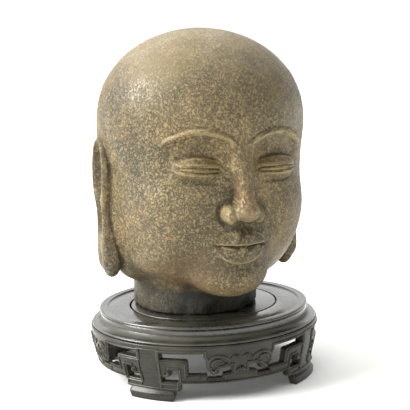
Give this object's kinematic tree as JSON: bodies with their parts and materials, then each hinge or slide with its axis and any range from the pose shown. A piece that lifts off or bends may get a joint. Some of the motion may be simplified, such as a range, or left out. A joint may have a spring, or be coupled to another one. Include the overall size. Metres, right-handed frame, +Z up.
{
  "type": "stone buddha head on stand",
  "caption": "Carved stone head of a calm, shaven figure with long ears, resting on a round dark hardwood stand with a moulded top and pierced aprons between its legs.",
  "frame": {"origin": "on the floor, in the middle of the bounding box; the axis of the stand is 9 mm behind it", "axes": "+Z up, -Y the way the face looks, the stand's legs near the diagonals"},
  "size_m": [0.2176, 0.2349, 0.3249],
  "materials": {
    "stone": "weathered",
    "dark_wood": "satin polish"
  },
  "bodies": {
    "root": {"head": "stone", "stand_top": "dark_wood", "stand_panel": "dark_wood", "stand_leg_front_right": "dark_wood", "stand_leg_back_right": "dark_wood", "stand_leg_back_left": "dark_wood", "stand_leg_front_left": "dark_wood"}
  },
  "joints": []
}
